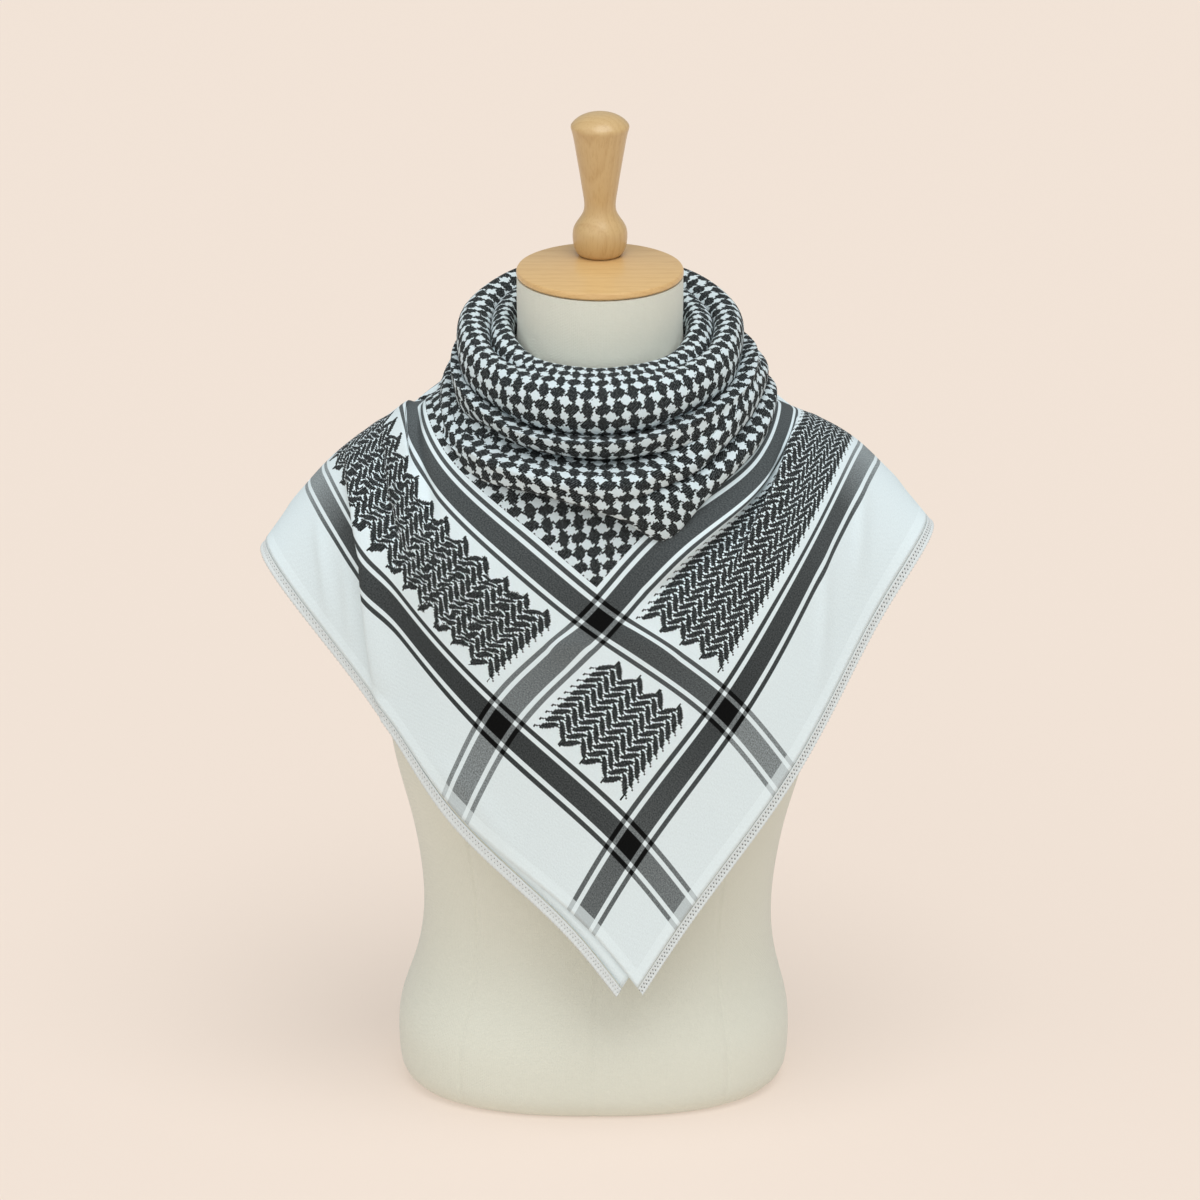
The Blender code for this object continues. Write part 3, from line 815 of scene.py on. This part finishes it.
# The cowl: the middle of the folded cloth, wound round the neck. It rolls over at the top and comes
# down in soft creases on to the two arms, lowest in front on the wearer's left.
COWL_WALL = 1.2
COWL = {                         # degrees from the front to the wearer's left: (radius, height) downwards
    -80: ((59, 547), (67, 561), (77, 549), (90, 558), (99, 541), (92, 526), (105, 535),
          (97, 514), (106, 516), (112.5, 508), (114, 503), (116, 498), (114, 490), (109, 491)),
    -64: ((59.5, 544), (68, 556), (79, 546), (91, 553), (102, 536), (92, 518), (108, 528),
          (98, 503), (109, 506), (120, 502), (121, 497), (121, 492), (116, 480.5), (111, 481.5)),
    -48: ((59.5, 541.5), (68.5, 551), (79.5, 545.5), (92, 549), (104, 532), (92, 518), (111.5, 521),
          (96, 504.5), (112, 499), (126, 496.5), (126.5, 491), (126, 485.5), (117, 474), (112, 475)),
    -32: ((59.5, 540), (69, 549), (80, 547.5), (92, 547), (105.5, 528), (93, 512.5), (114, 514),
          (97, 498.5), (113, 495.5), (130, 491.5), (130, 487), (129, 482.5), (118, 473.5), (113, 474.5)),
    -16: ((59.5, 540), (69, 548.5), (80, 548), (92, 546), (106, 526.5), (95, 510.5), (116, 511),
          (97, 495), (113, 492), (131, 486.5), (131, 483.5), (130, 480.5), (118, 471), (113, 472)),
    0: ((59.5, 540), (69, 548), (80, 548), (92, 545.5), (106, 526), (96, 510), (117, 510.5),
        (97, 493.5), (114, 491), (131, 482.5), (130.5, 476), (129, 470), (117, 462), (112, 463)),
    10: ((59.5, 540), (69, 548.5), (80, 548.5), (92, 546), (106, 527), (97, 511), (117, 511),
         (98, 494), (115, 491), (130, 484), (128, 473.5), (127, 463), (118, 452), (113, 453)),
    20: ((59.5, 540.5), (69, 549), (80, 548.5), (92, 546.5), (106, 528.5), (97, 513), (117, 513.5),
         (104, 497), (116, 493.5), (127, 489.5), (120, 477), (127, 462), (122, 439.5), (117, 440.5)),
    32: ((59.5, 541), (69, 549.5), (80, 548), (92, 548), (106, 531), (95, 517.5), (116, 518),
         (111, 502), (117, 495), (123, 489.5), (115, 481), (127, 472), (123.5, 457.5), (118, 458.5)),
    48: ((59.5, 542), (69, 551), (80, 546.5), (92, 551), (104, 536), (93, 519), (115, 524),
         (115, 517), (117, 515), (120.5, 507), (113, 494), (127.5, 488), (123, 477), (118, 478)),
    64: ((59.5, 544.5), (68.5, 555), (79, 546), (91, 555), (102, 539), (92, 520), (112.5, 530),
         (113.5, 526), (115, 524), (118, 517), (112, 504), (127, 500), (124, 490), (119, 491)),
    80: ((59, 547), (67.5, 561), (78, 549), (91, 559.5), (100, 543), (91, 521.5), (110, 537),
         (111.5, 531), (113, 529), (116, 522), (112, 513), (124.5, 508), (122, 500), (117, 501)),
    110: ((59, 550), (68, 566), (79, 555), (93, 565), (103, 550), (95, 536), (110, 536),
          (108, 529), (112, 528), (117, 521), (113, 512), (123, 507), (121, 499), (116, 500)),
    145: ((59, 550), (69.5, 573), (81, 561), (96, 573), (105, 555), (99, 544), (115, 541),
          (108, 530), (113, 532), (122, 525), (119, 518), (127, 513), (125, 505), (120, 506)),
    180: ((59, 550), (70, 573), (82, 562), (97, 574), (108, 556), (103, 546), (118, 541),
          (110, 529), (115, 531), (126, 523), (123, 517), (131, 511), (128, 504), (123, 505)),
    -145: ((59, 550), (69.5, 573), (81, 561), (96, 573), (105, 555), (99, 544), (115, 541),
           (107, 529), (113, 531), (122, 523), (120, 517), (126, 511), (122, 504), (117, 505)),
    -110: ((59, 550), (68, 566), (79, 555), (93, 564), (102, 549), (94, 536), (105, 536),
           (100, 518), (107, 519), (114, 512), (115, 507), (117, 502), (114, 496), (109, 497)),
}
CURVES = "rise out rise out drop rise drop rise out drop rise drop out".split()
CURVE_ROWS = 9
COWL_SIDES, COWL_ROWS = 300, CURVE_ROWS * len(CURVES)
COWL_WANDER = 0.8
COWL_TOP_RADIUS, COWL_SPREAD = 98, 26
COWL_MEETS = (17, 329.0, 40.0)   # at this angle its lower edge carries on the net of the layer under it
WHOLE_KNOTS = 2 * KNOT_PITCH * 94
angles = sorted(COWL)
cowl_angles = [a - 360 for a in angles] + angles + [a + 360 for a in angles]
cowl_table = np.array([COWL[a] for a in angles] * 3, float)


def cowl_points(angle, down):
    """Points of the cowl at an angle round the neck, and down its profile from 0 to 1. Each stretch of the
    profile is a quarter of an ellipse, so that rolls are round and the creases between them are sharp."""
    table = smooth_through(cowl_angles, cowl_table, angle)
    turn, ridge = np.radians(angle), np.arange(table.shape[1])
    wander = COWL_WANDER * (np.sin(turn[:, None] * 3 + ridge * 1.7)
                            + 0.7 * np.sin(turn[:, None] * 8 + ridge * 2.9))
    table[:, 2:, 0] += wander[:, 2:]
    piece = np.clip((down * len(CURVES)).astype(int), 0, len(CURVES) - 1)
    part = (down * len(CURVES) - piece) * math.pi / 2
    here, there = (table[np.arange(len(angle)), piece + step] for step in (0, 1))
    kind = np.array(CURVES)[piece]
    step = there - here
    upward = np.clip(step[:, 1] / 10 + 0.5, 0, 1)
    lead, lag = np.sin(part), 1 - np.cos(part)
    radial = np.select([kind == "out", kind == "drop"], [lead, lag], lead * (1 - upward) + lag * upward)
    upright = np.select([kind == "out", kind == "drop"], [lag, lead], lag * (1 - upward) + lead * upward)
    radius, height = here[:, 0] + step[:, 0] * radial, here[:, 1] + step[:, 1] * upright
    return np.stack([radius * np.sin(turn), -radius * np.cos(turn), height], axis=1)


def cowl_flat(s, t):
    """The cowl's place on the flat cloth: its real length down each profile, and round the neck, in rows
    that follow the rolls."""
    angles, downs = np.linspace(-180, 180, COWL_SIDES + 1), np.linspace(0, 1, COWL_ROWS + 1)
    around, down = np.meshgrid(angles, downs, indexing="ij")
    grid = cowl_points(around.ravel(), down.ravel()).reshape(COWL_SIDES + 1, COWL_ROWS + 1, 3)
    lengths = np.zeros((COWL_SIDES + 1, COWL_ROWS + 1))
    lengths[:, 1:] = np.cumsum(np.linalg.norm(np.diff(grid, axis=1), axis=2), axis=1)
    lengths -= lengths[:, [3 * CURVE_ROWS]]
    angle, row, column = COWL_MEETS
    radius = COWL_TOP_RADIUS + COWL_SPREAD * t
    meets = lengths[np.argmin(np.abs(angles - angle)), -CURVE_ROWS - 1]
    along = row + meets - lengths[np.rint(s * COWL_SIDES).astype(int), np.rint(t * COWL_ROWS).astype(int)]
    across = column + np.radians(s * 360 - 180 - angle) * radius
    along += WHOLE_KNOTS
    return np.stack([(along - across) * DIAGONAL, (across + along) * DIAGONAL], axis=1)


shawl_cowl = grid_piece("shawl_cowl_folds", COWL_SIDES, COWL_ROWS,
                        lambda s, t: cowl_points(s * 360 - 180, t), cowl_flat, ring=True)
thicken(shawl_cowl, COWL_WALL)
shawl_cowl.data.materials.append(cotton)
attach(shawl_cowl, "root")
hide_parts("shawl_cowl")

# The studio: a pale paper floor that fills the view and gives a little light of its own, a wide soft
# light above, a weaker one from the left and one from the front.
PAPER = (0.431, 0.366, 0.319)
PAPER_GLOW = (0.436, 0.380, 0.333)
FLOOR_REACH = 9
ROOM_LIGHT = 0.41
floor = bpy.data.objects.new("floor", bpy.data.meshes.new("floor"))
ground = bmesh.new()
bmesh.ops.create_grid(ground, x_segments=1, y_segments=1, size=FLOOR_REACH)
ground.to_mesh(floor.data)
ground.free()
bpy.context.collection.objects.link(floor)
paper, _, shader, _ = finish_material("backdrop paper", 0.9)
shader.inputs["Base Color"].default_value = (*PAPER, 1)
shader.inputs["Emission Color"].default_value = (*PAPER_GLOW, 1)
shader.inputs["Emission Strength"].default_value = 1.0
floor.data.materials.append(paper)

bpy.context.scene.view_settings.view_transform = "Standard"
world = bpy.data.worlds.new("studio")
bpy.context.scene.world = world
world.use_nodes = True
room = world.node_tree.nodes["Background"]
room.inputs["Color"].default_value = (0.97, 1.0, 1.0, 1)
room.inputs["Strength"].default_value = ROOM_LIGHT
SOFT_LIGHTS = (                  # name, where it comes from, how wide in degrees, strength
    ("soft light above", (0.5, -0.9, 3.0), 45, 1.58),
    ("soft light from the left", (-1.8, -1.6, 2.6), 60, 0.46),
    ("soft light from the front", (0.4, -3.0, 1.2), 60, 0.33),
)
for name, source, spread, strength in SOFT_LIGHTS:
    light = bpy.data.lights.new(name, "SUN")
    light.angle = math.radians(spread)
    light.energy = strength
    lamp = bpy.data.objects.new(name, light)
    lamp.location = source
    tilt = math.atan2(math.hypot(*source[:2]), source[2])
    lamp.rotation_euler = (tilt, 0, math.atan2(source[0], -source[1]))
    bpy.context.collection.objects.link(lamp)
